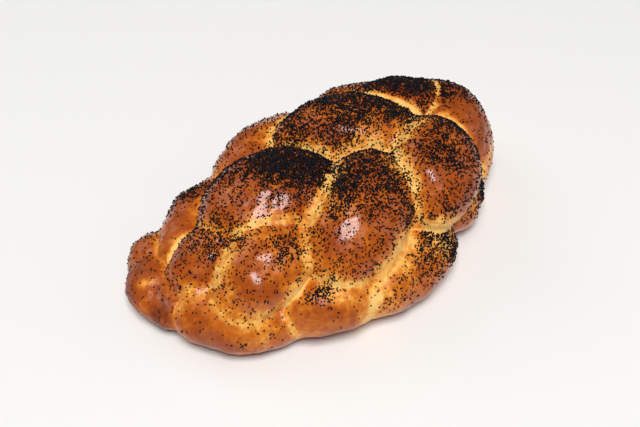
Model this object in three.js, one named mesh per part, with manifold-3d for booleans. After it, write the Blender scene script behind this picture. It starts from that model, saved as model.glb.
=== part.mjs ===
// A plaited egg loaf with poppy seeds, in millimetres with +Z up.
// The narrow tail points to -X, and the loaf rests on its flat foot at z = 0.
// The crust is one closed skin. Straight rays leave a flat core inside the loaf, and each
// runs on until it leaves the last of the dough lobes in its way.
import * as THREE from 'three';
import { mergeVertices } from 'three/addons/utils/BufferGeometryUtils.js';
import Module from 'manifold-3d';

const wasm = await Module();
wasm.setup();

// Driving dimensions of the whole loaf
const LENGTH = 298;
const WIDTH = 192;
const HEIGHT = 87;

// Core and rays
const CORE_HEIGHT = 22;         // level of the flat core that the rays leave
const CORE_LENGTH_SHARE = 0.74; // how far the core runs towards both tips
const CORE_WIDTH_SHARE = 0.5;
const RAY_MARGIN = 18;          // how far the rays aim beyond the crust
const RINGS = 90;               // steps from the head to the tail
const SPOKES = 52;              // steps round each ring
const TOP_BIAS = 0.45;          // crowds the spokes on the upper side
const RING_CROWDING = 0.9;      // power that spaces the rings along the loaf
const GIRTH_FULLNESS = 0.8;     // power that keeps the rings wide near the tips
const LEVEL_RAY = 1e-3;         // rays that fall by less than this share never meet the floor

// Dough
const BALLS = 17;               // balls on one lobe's string
const END_TAPER = 0.2;          // share of its radius that a lobe loses at its ends
const TAPER_POWER = 2.5;        // keeps that loss near the ends
const DROP_POWER = 2.2;         // keeps the dip of a string near its ends
const LEAN_ALONG = 0.7;         // how far flattened lobes face outward towards the tips
const LEAN_ACROSS = 1.6;        // and towards the sides
const WALL_START = 0.93;        // share of the radius beyond which a flank runs on straight
const FOLD_SOFTNESS = 6;        // how softly one lobe meets the next
const FOOT_SOFTNESS = 4;        // how softly the crust meets the flat foot
const CORE_FILL = 0.3;          // share of each ray that is always dough
const FOOT = { x: -7, y: -7, halfLength: 120, halfWidth: 66, roundness: 1.8, fall: 150 };

// Poppy seeds, largest ones only
const SEED_COUNT = 80;
const SEED_HALF_SIZES = new THREE.Vector3(0.85, 0.68, 0.6);
const SEED_SPACING = 18;
const SEED_LOWEST = 30;         // seeds lie above this height
const SEED_STEEPEST = 0.35;     // least upward share of the crust's normal under a seed
const SEED_TRIES = 60000;       // draws before the search for places ends
const FIRST_DRAW = 7;
const DRAW_FACTOR = 1664525;
const DRAW_STEP = 1013904223;
const WELD_DISTANCE = 1e-5;

// The strands show as lobes in four columns, with a roll round each end.
// flat is a lobe's height over its width, bow swings its middle to the left, and the drops
// are how far its head and tail ends dip under the neighbours.
const COLUMNS = {
  crownLeft: { flat: 0.68, bow: 4, headDrop: 7, tailDrop: 11 },
  crownRight: { flat: 0.74, bow: -5, headDrop: 5, tailDrop: 10 },
  flankLeft: { flat: 0.95, bow: 3, headDrop: 1, tailDrop: 1 },
  flankRight: { flat: 0.95, bow: -4, headDrop: 1, tailDrop: 1 },
  end: { flat: 0.95, bow: 2, headDrop: 0, tailDrop: 1 },
};

// Each lobe: column, middle of its string (x, y, z), half length of the string, radius and
// heading in degrees, where 0 runs to the tail and a positive heading swings to the left.
const LOBES = [
  ['crownLeft', 90.4, 21.7, 51, 27, 28, 38],
  ['crownLeft', 40, 21, 61, 33, 30, 42],
  ['crownLeft', -44.5, 3.5, 63, 27, 35, 24],
  ['crownLeft', -99, -1, 45, 18, 22.5, 22],
  ['crownRight', 110.5, -8.5, 43, 22, 31, -67],
  ['crownRight', 62, -47, 61, 21, 31, -49],
  ['crownRight', -7.5, -45, 61, 30, 33, -31],
  ['crownRight', -79, -31, 51, 21, 27, -17],
  ['flankRight', 113, -16, 23, 22, 27, -67],
  ['flankRight', 78, -53, 22, 17, 21, -32],
  ['flankRight', 0.5, -79, 22, 29, 22.5, 2],
  ['flankRight', -50, -70, 23, 21, 21, 12],
  ['flankRight', -90, -50, 17, 17, 19, 20],
  ['flankLeft', 104, 26, 22, 18, 25, 55],
  ['flankLeft', 69, 58, 27, 22, 24, 10],
  ['flankLeft', -7, 64, 27, 28, 27, -6],
  ['flankLeft', -86, 44, 25, 29, 22, -30],
  ['flankLeft', -120, 45, 18, 9, 17, 0],
  ['end', -117, -32, 21, 17, 21.5, 55],
  ['end', -135, 14, 17, 17, 17, -88],
  ['end', -138, 25, 21, 10, 15.5, -60],
];

/** Repeats the same draws between 0 and 1 on every run. */
function seededDraws(seed) {
  let state = seed;
  return () => {
    state = (Math.imul(state, DRAW_FACTOR) + DRAW_STEP) >>> 0;
    return state / 2 ** 32;
  };
}

/** A lobe's own stretch along its flattened direction, which makes its section round. */
function roundingOf(x, y, flat) {
  const up = new THREE.Vector3(LEAN_ALONG * x / LENGTH, LEAN_ACROSS * y / WIDTH, 1).normalize();
  const stretch = 1 / flat - 1;
  return (v) => v.clone().addScaledVector(up, stretch * v.dot(up));
}

/** A lobe as a string of balls, given in the space where its section is round. */
function lobeFrom([column, x, y, z, half, radius, heading]) {
  const { flat, bow, headDrop, tailDrop } = COLUMNS[column];
  const angle = THREE.MathUtils.degToRad(heading);
  const round = roundingOf(x, y, flat);
  const balls = Array.from({ length: BALLS }, (_, i) => {
    const t = 2 * i / (BALLS - 1) - 1;
    const swing = bow * (0.5 - t * t);
    const drop = (t < 0 ? headDrop : tailDrop) * Math.abs(t) ** DROP_POWER;
    const centre = new THREE.Vector3(
      x - Math.cos(angle) * t * half + Math.sin(angle) * swing,
      y + Math.sin(angle) * t * half + Math.cos(angle) * swing,
      z - drop,
    );
    return { centre: round(centre), radius: radius * (1 - END_TAPER * Math.abs(t) ** TAPER_POWER) };
  });
  return { round, balls };
}

/** The ray at a step from the head or tail and a step round the ring. */
function rayAt(ring, spoke) {
  const angle = Math.PI * ring / RINGS;
  const along = -Math.sign(Math.cos(angle)) * Math.abs(Math.cos(angle)) ** RING_CROWDING;
  const girth = Math.sin(angle) ** GIRTH_FULLNESS;
  const even = 2 * Math.PI * spoke / SPOKES;
  const turn = even + TOP_BIAS * Math.cos(even);
  const x = along * (LENGTH / 2 + RAY_MARGIN);
  const rise = Math.sin(turn) > 0 ? HEIGHT - CORE_HEIGHT + RAY_MARGIN : CORE_HEIGHT + RAY_MARGIN;
  const start = new THREE.Vector3(
    x * CORE_LENGTH_SHARE,
    girth * CORE_WIDTH_SHARE * WIDTH / 2 * Math.cos(turn),
    CORE_HEIGHT,
  );
  const end = new THREE.Vector3(
    x,
    girth * (WIDTH / 2 + RAY_MARGIN) * Math.cos(turn),
    CORE_HEIGHT + girth * rise * Math.sin(turn),
  );
  const span = start.distanceTo(end);
  return { start, span, direction: end.sub(start).divideScalar(span) };
}

/** Height of a ball over its middle, with a straight flank beyond the edge. */
function capHeight(distance, radius) {
  const share = distance / radius;
  if (share < WALL_START) {
    return radius * Math.sqrt(1 - share * share);
  }
  const edge = Math.sqrt(1 - WALL_START * WALL_START);
  return radius * (edge - (share - WALL_START) * WALL_START / edge);
}

/** How far along a ray a lobe reaches. */
function reachOf(ray, lobe) {
  const start = lobe.round(ray.start);
  const direction = lobe.round(ray.direction);
  const scale = direction.length();
  direction.divideScalar(scale);
  let farthest = -Infinity;
  for (const { centre, radius } of lobe.balls) {
    const toCentre = centre.clone().sub(start);
    const along = toCentre.dot(direction);
    const aside = Math.sqrt(Math.max(toCentre.lengthSq() - along * along, 0));
    farthest = Math.max(farthest, along + capHeight(aside, radius));
  }
  return farthest / scale;
}

/** The larger of two lengths, with a soft join where they are nearly alike. */
function softMax(a, b, softness) {
  const share = Math.max(softness - Math.abs(a - b), 0) / softness;
  return Math.max(a, b) + share * share * softness / 4;
}

/** The smaller of two lengths, with a soft join where they are nearly alike. */
function softMin(a, b, softness) {
  const share = Math.max(softness - Math.abs(a - b), 0) / softness;
  return Math.min(a, b) - share * share * softness / 4;
}

/** Distance to the floor, and to the flat foot, which gives way outside its outline. */
function footOf(ray) {
  if (ray.direction.z > -LEVEL_RAY) {
    return { floor: Infinity, foot: 0 };
  }
  const floor = -ray.start.z / ray.direction.z;
  const hit = ray.start.clone().addScaledVector(ray.direction, floor);
  const across = Math.abs((hit.x - FOOT.x) / FOOT.halfLength) ** FOOT.roundness
    + Math.abs((hit.y - FOOT.y) / FOOT.halfWidth) ** FOOT.roundness;
  const beyond = Math.max(across ** (1 / FOOT.roundness) - 1, 0);
  return { floor, foot: floor - FOOT.fall * beyond };
}

/** How far the dough runs along a ray: out to the last lobe in its way. */
function doughLength(ray, lobes) {
  const reaches = lobes.map((lobe) => reachOf(ray, lobe)).sort((a, b) => b - a);
  return Math.max(softMax(reaches[0], reaches[1], FOLD_SOFTNESS), CORE_FILL * ray.span);
}

/** Rows of lengths averaged with their neighbours, so that folds run evenly across the rays. */
function evenedOut(rows) {
  const mean = (before, own, after) => (before + 2 * own + after) / 4;
  const round = rows.map((row) => row.map((own, k) => (
    mean(row[(k + SPOKES - 1) % SPOKES], own, row[(k + 1) % SPOKES])
  )));
  return round.map((row, ring) => {
    const [before, after] = [round[ring - 1] ?? row, round[ring + 1] ?? row];
    return row.map((own, k) => mean(before[k], own, after[k]));
  });
}

/** The crust's point on a ray: out to the end of the dough, down to the foot, never below it. */
function crustPoint(ray, dough) {
  const { floor, foot } = footOf(ray);
  const length = softMin(softMax(dough, foot, FOOT_SOFTNESS), floor, FOOT_SOFTNESS);
  const point = ray.start.clone().addScaledVector(ray.direction, length);
  return foot > 0 && foot === floor ? point.setZ(0) : point;
}

/** Brings a geometry to the loaf's driving dimensions, centred over the origin. */
function fitToSize(geometry) {
  geometry.computeBoundingBox();
  const middle = geometry.boundingBox.getCenter(new THREE.Vector3());
  const size = geometry.boundingBox.getSize(new THREE.Vector3());
  geometry.translate(-middle.x, -middle.y, 0);
  return geometry.scale(LENGTH / size.x, WIDTH / size.y, HEIGHT / size.z);
}

/** A four-sided face as two triangles, split along its shorter diagonal so that folds stay clean. */
function splitFace(positions, a, b, c, d) {
  const gap = (i, j) => Math.hypot(...[0, 1, 2].map((k) => positions[3 * i + k] - positions[3 * j + k]));
  return gap(a, d) < gap(b, c) ? [a, b, d, a, d, c] : [a, b, c, b, d, c];
}

/** The crust as one closed skin: a tip, the rings between, and the other tip. */
function crustGeometry() {
  const lobes = LOBES.map(lobeFrom);
  const lengthOf = (ring, spoke) => doughLength(rayAt(ring, spoke), lobes);
  const lengths = evenedOut(Array.from({ length: RINGS - 1 }, (_, row) => (
    Array.from({ length: SPOKES }, (__, spoke) => lengthOf(row + 1, spoke))
  )));
  const positions = [];
  const triangles = [];
  const add = (ring, spoke, dough) => {
    positions.push(...crustPoint(rayAt(ring, spoke), dough).toArray());
  };
  add(0, 0, lengthOf(0, 0));
  lengths.forEach((row, before) => row.forEach((dough, spoke) => add(before + 1, spoke, dough)));
  add(RINGS, 0, lengthOf(RINGS, 0));
  const last = positions.length / 3 - 1;
  const at = (ring, spoke) => 1 + (ring - 1) * SPOKES + spoke % SPOKES;
  for (let spoke = 0; spoke < SPOKES; spoke += 1) {
    triangles.push(0, at(1, spoke + 1), at(1, spoke));
    for (let ring = 1; ring < RINGS - 1; ring += 1) {
      const [a, b] = [at(ring, spoke), at(ring, spoke + 1)];
      const [c, d] = [at(ring + 1, spoke), at(ring + 1, spoke + 1)];
      triangles.push(...splitFace(positions, a, b, c, d));
    }
    triangles.push(last, at(RINGS - 1, spoke), at(RINGS - 1, spoke + 1));
  }
  const geometry = new THREE.BufferGeometry();
  geometry.setAttribute('position', new THREE.Float32BufferAttribute(positions, 3));
  geometry.setIndex(triangles);
  return fitToSize(geometry);
}

/** A closed geometry as a solid that can be joined. */
function solidFrom(geometry) {
  const bare = geometry.clone();
  bare.deleteAttribute('normal');
  bare.deleteAttribute('uv');
  const merged = mergeVertices(bare, WELD_DISTANCE);
  return new wasm.Manifold(new wasm.Mesh({
    numProp: 3,
    vertProperties: new Float32Array(merged.attributes.position.array),
    triVerts: new Uint32Array(merged.index.array),
  }));
}

/** A joined solid back as a geometry with flat faces. */
function geometryFrom(solid) {
  const mesh = solid.getMesh();
  const geometry = new THREE.BufferGeometry();
  geometry.setAttribute('position', new THREE.Float32BufferAttribute(mesh.vertProperties, 3));
  geometry.setIndex(Array.from(mesh.triVerts));
  geometry.computeVertexNormals();
  return geometry;
}

/** Places for the seeds: drawn over the crust's upper faces and kept apart from each other. */
function seedPlaces(crust) {
  const draw = seededDraws(FIRST_DRAW);
  const { position } = crust.attributes;
  const { array: index } = crust.index;
  const corner = (k) => new THREE.Vector3().fromBufferAttribute(position, index[k]);
  const places = [];
  for (let tries = 0; tries < SEED_TRIES && places.length < SEED_COUNT; tries += 1) {
    const face = 3 * Math.floor(draw() * index.length / 3);
    const triangle = new THREE.Triangle(corner(face), corner(face + 1), corner(face + 2));
    const [a, b] = [draw(), draw()];
    const share = Math.sqrt(a);
    const point = triangle.a.clone().multiplyScalar(1 - share)
      .addScaledVector(triangle.b, share * (1 - b))
      .addScaledVector(triangle.c, share * b);
    const normal = triangle.getNormal(new THREE.Vector3());
    const upper = point.z > SEED_LOWEST && normal.z > SEED_STEEPEST;
    if (upper && places.every((place) => place.point.distanceTo(point) > SEED_SPACING)) {
      places.push({ point, normal, turn: 2 * Math.PI * draw() });
    }
  }
  return places;
}

/** A seed lying on the crust, half sunk into it. */
function seedSolid({ point, normal, turn }) {
  const seed = new THREE.IcosahedronGeometry(1, 0);
  seed.scale(SEED_HALF_SIZES.x, SEED_HALF_SIZES.y, SEED_HALF_SIZES.z);
  seed.rotateZ(turn);
  seed.applyQuaternion(new THREE.Quaternion().setFromUnitVectors(new THREE.Vector3(0, 0, 1), normal));
  seed.translate(point.x, point.y, point.z);
  return solidFrom(seed);
}

/** The whole loaf: the crust with the seeds fused to it. */
function loafGeometry() {
  const crust = crustGeometry();
  const seeds = seedPlaces(crust).map(seedSolid);
  return geometryFrom(seeds.reduce((body, seed) => body.add(seed), solidFrom(crust)));
}

function glazedCrust() {
  return new THREE.MeshStandardMaterial({ color: '#b4632a', roughness: 0.4, metalness: 0 });
}

const loaf = new THREE.Mesh(loafGeometry(), glazedCrust());
loaf.name = 'loaf';

const part = new THREE.Group();
part.add(loaf);

export default part;
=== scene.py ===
"""A plaited egg loaf: its glazed crust with pale folds, and the poppy seeds strewn over it.

The dough is worked out in millimetres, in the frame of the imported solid, and turned into metres
where a mesh is made. The tail points to -X and the camera looks down from the tail's near side.
"""
from __future__ import annotations

import logging
import math
from dataclasses import dataclass, field
from enum import Enum
from typing import Any, Callable

import bpy
import numpy as np
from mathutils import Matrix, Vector

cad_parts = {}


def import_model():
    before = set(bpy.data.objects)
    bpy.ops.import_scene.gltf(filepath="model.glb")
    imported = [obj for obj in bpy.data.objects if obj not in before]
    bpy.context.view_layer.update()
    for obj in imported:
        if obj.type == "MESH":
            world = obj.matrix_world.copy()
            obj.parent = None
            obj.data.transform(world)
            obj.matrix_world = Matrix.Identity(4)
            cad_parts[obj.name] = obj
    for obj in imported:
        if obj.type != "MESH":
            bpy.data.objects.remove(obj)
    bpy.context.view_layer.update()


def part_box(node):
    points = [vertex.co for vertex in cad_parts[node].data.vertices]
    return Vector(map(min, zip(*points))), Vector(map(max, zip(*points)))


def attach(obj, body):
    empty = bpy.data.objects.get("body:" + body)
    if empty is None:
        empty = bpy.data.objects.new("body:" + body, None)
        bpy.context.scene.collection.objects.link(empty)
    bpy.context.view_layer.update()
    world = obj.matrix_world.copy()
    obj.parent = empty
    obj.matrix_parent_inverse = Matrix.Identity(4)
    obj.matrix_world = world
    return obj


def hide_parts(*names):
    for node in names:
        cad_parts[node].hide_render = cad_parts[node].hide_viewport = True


LOG = logging.getLogger("loaf")
METRES = 0.001
SIDE_GAP = 1.0      # millimetres inside the solid's box that are left to the seeds
FLOOR_GAP = 0.25
TOP_GAP = 1.45
LEVEL_FALL = 1e-3   # a ray that falls less never meets the floor
FAR_OFF = 1e6       # its length in millimetres
BATCH = 4000        # points that are measured against the folds at a time
SQUARE_CENTIMETRE = 100     # in square millimetres
NOISE_MEAN = 0.5
TINY = 1e-6         # keeps divisors off zero
LEAST_NORMAL = 1e-9     # a shorter one has no direction

Array = np.ndarray
Corner = tuple[float, float, float]
Colour = tuple[float, float, float, float]
Span = tuple[float, float]


class Column(Enum):
    """Where a lobe lies in the plait."""

    CROWN_LEFT = "crown left of the middle fold"
    CROWN_RIGHT = "crown right of the middle fold"
    FLANK_LEFT = "left flank"
    FLANK_RIGHT = "right flank"
    END = "roll round the tail"


class SeedKind(Enum):
    """The shades that poppy seeds come in."""

    BLACK = "black"
    INKY = "inky"
    SLATE = "slate"
    BROWN = "brown"


@dataclass(frozen=True)
class Habit:
    """What the lobes of one column share.

    flat is a lobe's height over its width, bow swings its middle to the left, and the drops are
    how far its head and tail ends dip under the neighbours.
    """

    flat: float
    bow: float
    head_drop: float
    tail_drop: float


HABITS = {
    Column.CROWN_LEFT: Habit(0.68, 4, 7, 11),
    Column.CROWN_RIGHT: Habit(0.74, -5, 5, 10),
    Column.FLANK_LEFT: Habit(0.95, 3, 1, 1),
    Column.FLANK_RIGHT: Habit(0.95, -4, 1, 1),
    Column.END: Habit(0.95, 2, 0, 1),
}


@dataclass(frozen=True)
class Lobe:
    """One bulge of a strand: the middle, half length, radius and heading of its string of balls.

    Heading 0 runs to the tail and a positive one swings to the left. seeds is how many lie on a
    square centimetre of it away from the drifts, tone is how brown it baked, from 0 to 1, and
    gloss how much of the egg glaze it took.
    """

    name: str
    column: Column
    x: float
    y: float
    z: float
    half: float
    radius: float
    heading: float
    seeds: float
    tone: float
    gloss: float = 1.0


LOBES = (
    Lobe("head left", Column.CROWN_LEFT, 90.4, 21.7, 51, 27, 28, 38, 49, 0.75),
    Lobe("upper left", Column.CROWN_LEFT, 40, 21, 61, 33, 30, 42, 44, 0.5, 0.6),
    Lobe("middle left", Column.CROWN_LEFT, -44.5, 3.5, 63, 27, 35, 24, 31, 0.65),
    Lobe("lower left", Column.CROWN_LEFT, -99, -1, 45, 18, 22.5, 22, 17, 0.68),
    Lobe("head right", Column.CROWN_RIGHT, 110.5, -8.5, 43, 22, 31, -67, 8, 0.76),
    Lobe("upper right", Column.CROWN_RIGHT, 62, -47, 61, 21, 31, -49, 25, 0.56),
    Lobe("middle right", Column.CROWN_RIGHT, -7.5, -45, 61, 30, 33, -31, 33, 0.5),
    Lobe("lower right", Column.CROWN_RIGHT, -79, -31, 51, 21, 27, -17, 16, 0.48),
    Lobe("right flank 1", Column.FLANK_RIGHT, 113, -16, 23, 22, 27, -67, 8, 0.32),
    Lobe("right flank 2", Column.FLANK_RIGHT, 78, -53, 22, 17, 21, -32, 20, 0.5),
    Lobe("right flank 3", Column.FLANK_RIGHT, 4, -79.5, 23.5, 30, 23.5, -3.5, 26, 0.38, 0.7),
    Lobe("right flank 4", Column.FLANK_RIGHT, -50, -69, 27, 21, 23, 12, 2.5, 0.47, 0.4),
    Lobe("right flank 5", Column.FLANK_RIGHT, -90, -50, 17, 17, 19, 20, 8, 0.62),
    Lobe("left flank 1", Column.FLANK_LEFT, 104, 26, 22, 18, 25, 55, 26, 0.6),
    Lobe("left flank 2", Column.FLANK_LEFT, 69, 58, 27, 22, 24, 10, 17, 0.6),
    Lobe("left flank 3", Column.FLANK_LEFT, -7, 64, 27, 28, 27, -6, 5, 0.62),
    Lobe("left flank 4", Column.FLANK_LEFT, -86, 44, 25, 29, 22, -30, 4, 0.74),
    Lobe("left flank 5", Column.FLANK_LEFT, -120, 45, 18, 9, 17, 0, 10, 0.75),
    Lobe("tail right", Column.END, -117, -32, 21, 17, 21.5, 55, 5, 0.53, 0.5),
    Lobe("tail roll", Column.END, -135, 14, 17, 17, 17, -88, 6, 0.96, 0.15),
    Lobe("tail knot", Column.END, -138, 25, 21, 10, 15.5, -60, 5, 0.84, 0.3),
)


@dataclass(frozen=True)
class Fold:
    """How two lobes meet.

    bare is how pale the dough is in it, and first_reach and second_reach are how many
    millimetres up either lobe that goes. clean is how far it is free of seeds. soft is the
    height difference in millimetres over which the lobes blend, and groove the crease's depth.
    """

    first: str
    second: str
    bare: float
    first_reach: float
    second_reach: float
    clean: float = 0.5
    soft: float = 4.0
    groove: float = 0.6


PLAIN_FOLD = Fold("", "", 0.4, 2.5, 2.5)

FOLDS = (
    Fold("head left", "head right", 0.95, 1.5, 3.0, 0.8),
    Fold("head left", "upper left", 1.0, 5.0, 1.5, 0.8),
    Fold("head left", "left flank 2", 0.9, 3.0, 3.0, 0.5),
    Fold("head left", "upper right", 1.05, 5.0, 2.5, 0.8),
    Fold("head right", "upper right", 0.95, 6.0, 2.5, 0.9, 5.0),
    Fold("head right", "right flank 1", 0.45, 3.0, 7.0, 0.4, 9.0, 0.2),
    Fold("upper left", "upper right", 0.85, 4.0, 16.0, 0.35, 9.0, 0.2),
    Fold("upper left", "left flank 2", 0.95, 1.5, 4.0, 1.0),
    Fold("upper left", "left flank 3", 0.95, 4.5, 5.0, 0.3),
    Fold("upper left", "middle left", 0.95, 8.0, 0.6, 0.3),
    Fold("upper left", "middle right", 0.95, 11.0, 1.0, 0.4, 5.0),
    Fold("upper right", "middle right", 0.85, 8.5, 1.5, 0.2, 6.0, 0.4),
    Fold("upper right", "right flank 2", 0.6, 5.0, 1.5, 0.5, 6.0),
    Fold("upper right", "right flank 3", 0.95, 11.0, 1.5, 0.9, 8.0, 0.4),
    Fold("middle left", "left flank 3", 0.6, 0.8, 4.0),
    Fold("middle left", "left flank 4", 0.5, 1.0, 4.0),
    Fold("middle left", "middle right", 0.92, 4.0, 7.5, 0.75, 6.0, 0.5),
    Fold("middle left", "lower left", 0.5, 5.0, 1.0, 0.3, 8.0, 0.3),
    Fold("middle left", "lower right", 0.88, 7.0, 1.5, 0.6, 10.0, 0.3),
    Fold("middle right", "lower right", 0.66, 4.0, 6.0, 0.4, 8.0, 0.4),
    Fold("middle right", "right flank 3", 0.84, 12.0, 4.5, 1.0, 18.0, 0.1),
    Fold("middle right", "right flank 4", 0.88, 6.0, 1.5, 0.8, 6.0, 1.6),
    Fold("lower left", "lower right", 0.85, 2.5, 11.0, 0.6, 14.0, 0.1),
    Fold("lower left", "left flank 4", 0.9, 2.5, 5.0, 0.9, 3.0, 1.0),
    Fold("lower left", "tail right", 0.35, 6.0, 8.0, 0.3, 16.0, 0.0),
    Fold("lower left", "tail roll", 0.2, 3.0, 3.0, 0.3, 10.0, 0.2),
    Fold("lower left", "tail knot", 0.4, 3.0, 3.0, 0.3, 9.0, 0.2),
    Fold("lower right", "right flank 4", 0.9, 10.0, 1.5, 0.9, 10.0, 0.5),
    Fold("lower right", "right flank 5", 0.7, 6.0, 1.0, 0.5, 6.0, 2.4),
    Fold("lower right", "tail right", 0.42, 2.0, 3.5, 0.3, 12.0, 0.0),
    Fold("right flank 2", "right flank 3", 0.3, 2.0, 2.0),
    Fold("right flank 3", "right flank 4", 0.8, 6.0, 7.0, 0.6, 10.0, 0.1),
    Fold("right flank 4", "right flank 5", 0.65, 2.0, 4.0, 0.5, 8.0, 0.3),
    Fold("right flank 5", "tail right", 0.15, 4.0, 4.0, 0.2, 9.0, 0.0),
    Fold("tail right", "tail roll", 0.5, 5.0, 1.5, 0.5, 5.0, 2.0),
    Fold("tail roll", "tail knot", 0.15, 2.0, 4.0, 0.3, 9.0, 0.2),
    Fold("tail knot", "left flank 5", 0.2, 2.0, 2.0, 0.3, 6.0, 0.4),
)


@dataclass(frozen=True)
class Drift:
    """A drift of seeds: its middle, half length, half width, turn in degrees and seeds a cm2."""

    x: float
    y: float
    length: float
    width: float
    turn: float
    seeds: float

    def oval(self, points: Array, wander: Array) -> Array:
        """Distance from the middle over the half axes: the root of the sum of their squares.

        Args:
            points: Places with three coordinates in the last axis.
            wander: Millimetres by which the long axis strays at each place.

        Returns:
            Numbers from 0 in the middle to 1 on the oval's rim and beyond.
        """
        x, y = points[..., 0] - self.x, points[..., 1] - self.y
        turn = math.radians(self.turn)
        along = x * math.cos(turn) + y * math.sin(turn)
        across = y * math.cos(turn) - x * math.sin(turn) + wander
        return np.sqrt((along / self.length) ** 2 + (across / self.width) ** 2)


DRIFTS = (
    Drift(-22, 5, 28, 17, -42, 200),  # along the back of the middle left lobe
    Drift(-30, 4, 36, 19, -42, 55),
    Drift(98, 26, 28, 15, -40, 120),  # over the head's left lobe
    Drift(128, 4, 17, 12, -60, 44),  # back of the head's right lobe
    Drift(57, 19, 32, 12, -40, 75),  # along the back of the upper left lobe
    Drift(32, 19, 15, 10, -20, 90),
    Drift(22, 24, 30, 10, -42, 50),  # lower half of the upper left lobe
    Drift(-2, 46, 18, 12, -40, 45),
    Drift(87, -24, 16, 9, -45, 50),  # top corner of the upper right lobe
    Drift(60, -46, 16, 7, -40, 80),
    Drift(69, -41, 21, 22, -40, 30),
    Drift(80, -62, 14, 5, 66, 15),  # its outer shoulder
    Drift(98, -60, 10, 8, 40, 80),
    Drift(-14, -31, 19, 9, 50, 130),  # head half of the middle right lobe
    Drift(8, -38, 29, 22, -40, 56),
    Drift(30, -79, 22, 11, 8, 75),  # head end of the third flank lobe
    Drift(-58, -62, 11, 8, -20, 110),  # crest of the fourth flank lobe
    Drift(-87, 2, 19, 12, -40, 60),  # head end of the lower left lobe
    Drift(-61, -34, 15, 9, -30, 66),  # head end of the lower right lobe
    Drift(-8, 76, 36, 9, 4, 8),  # outer edge of the third left flank lobe
    Drift(-71, 46, 12, 6, -20, 22),
    Drift(-68, 64, 20, 7, -10, 60),  # its outer edge
    Drift(-108, -60, 26, 4, -25, 60),  # rim of the tail's right lobe
    Drift(56, 66, 30, 14, -10, 10),
)


@dataclass(frozen=True)
class Crease:
    """A wrinkle in the skin: its two ends, half width, depth, and how bare the dough is in it."""

    start: Corner
    end: Corner
    width: float
    depth: float
    bare: float

    def strength(self, points: Array, spread: float = 1.0) -> Array:
        """Fades as the exponential of minus the squared distance from the wrinkle over its width.

        Args:
            points: Places with three coordinates in the last axis.
            spread: How many times its width it reaches.

        Returns:
            Numbers from 0 to 1.
        """
        start = np.array(self.start)
        run = np.array(self.end) - start
        share = np.clip((points - start) @ run / (run @ run), 0, 1)
        away = np.linalg.norm(points - start - share[..., None] * run, axis=-1)
        return np.exp(-(away / (self.width * spread)) ** 2)


CREASES = (
    Crease((-139, 27, 32), (-129, 21, 35), 2.2, 0.8, 0.5),  # across the tail knot
    Crease((-128, 0, 29), (-133, -18, 29), 1.6, 1.6, 0.35),  # beside the tail roll
    Crease((-105, -13, 52), (-107, -27, 52), 1.3, 1.2, 0.1),  # tail end of the lower right lobe
    Crease((-107, -27, 52), (-100, -35, 57), 1.3, 1.0, 0.1),
    Crease((-133, 47, 26), (-121, 44, 31), 2.0, 0.7, 0.2),  # behind the tail knot
)


@dataclass(frozen=True)
class Rays:
    """Straight rays through the dough: where they start, where they point and how long they are."""

    start: Array
    direction: Array
    span: Array


@dataclass(frozen=True)
class Skin:
    """The crust's surface on its grid of rings and spokes, with what the finish needs to know.

    lobe is the lobe that each point belongs to and second the next one, whose share of the point
    is 1 - share. fold is the distance to the nearest fold, and bare, reach and clean are that
    fold's own.
    """

    points: Array
    normals: Array
    lobe: Array
    second: Array
    share: Array
    fold: Array
    bare: Array
    reach: Array
    clean: Array

    def blended(self, value: Callable[[Lobe], float]) -> Array:
        """A number of the lobes at each point: share of its own lobe's, and the rest the next's.

        Args:
            value: Reads the number from a lobe.

        Returns:
            The number at each point.
        """
        own = np.array([value(lobe) for lobe in LOBES], float)
        return self.share * own[self.lobe] + (1 - self.share) * own[self.second]


def fold_table(value: Callable[[Fold, bool], float]) -> Array:
    """Spreads one number of the folds over a square table of lobes by lobes.

    Args:
        value: Reads the number, told whether the row is the fold's first lobe.

    Returns:
        The table.
    """
    count = len(LOBES)
    table = np.full((count, count), value(PLAIN_FOLD, True), float)
    place = {lobe.name: number for number, lobe in enumerate(LOBES)}
    for fold in FOLDS:
        first, second = place[fold.first], place[fold.second]
        table[first, second] = value(fold, True)
        table[second, first] = value(fold, False)
    return table


def smooth_step(value: Array, low: float, high: float) -> Array:
    """Rises softly from 0 at low to 1 at high: 3 s^2 - 2 s^3, with s the share of the way.

    Args:
        value: Numbers to grade.
        low: Where the rise starts.
        high: Where the rise ends.

    Returns:
        The graded numbers.
    """
    share = np.clip((value - low) / (high - low), 0, 1)
    return share * share * (3 - 2 * share)


def soft_max(first: Array, second: Array, softness: float) -> Array:
    """The larger of two lengths, plus a parabola where they differ by less than the softness.

    Args:
        first: Lengths.
        second: Other lengths.
        softness: Difference below which the two blend.

    Returns:
        The joined lengths.
    """
    share = np.clip(softness - np.abs(first - second), 0, None) / softness
    return np.maximum(first, second) + share * share * softness / 4


@dataclass(frozen=True)
class Ripple:
    """Smooth seeded relief: a sum of plane waves in random directions, about as high as height."""

    wavelength: float
    seed: int
    height: float = 1.0
    waves: int = 14
    pace: Span = (0.7, 1.4)
    crest: float = 0.9

    def at(self, points: Array) -> Array:
        """Adds up cos(direction . point * 2 pi / wavelength + phase) over the waves.

        Args:
            points: Places with three coordinates in the last axis.

        Returns:
            The relief at each place.
        """
        rng = np.random.default_rng(self.seed)
        turn = rng.normal(size=(self.waves, 3))
        turn /= np.linalg.norm(turn, axis=1, keepdims=True)
        pace = 2 * math.pi / self.wavelength * rng.uniform(*self.pace, self.waves)
        phase = rng.uniform(0, 2 * math.pi, self.waves)
        total = np.zeros(points.shape[:-1])
        for k in range(self.waves):
            total += np.cos(points @ turn[k] * pace[k] + phase[k])
        return self.height * (total / math.sqrt(self.waves) * self.crest)


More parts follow.
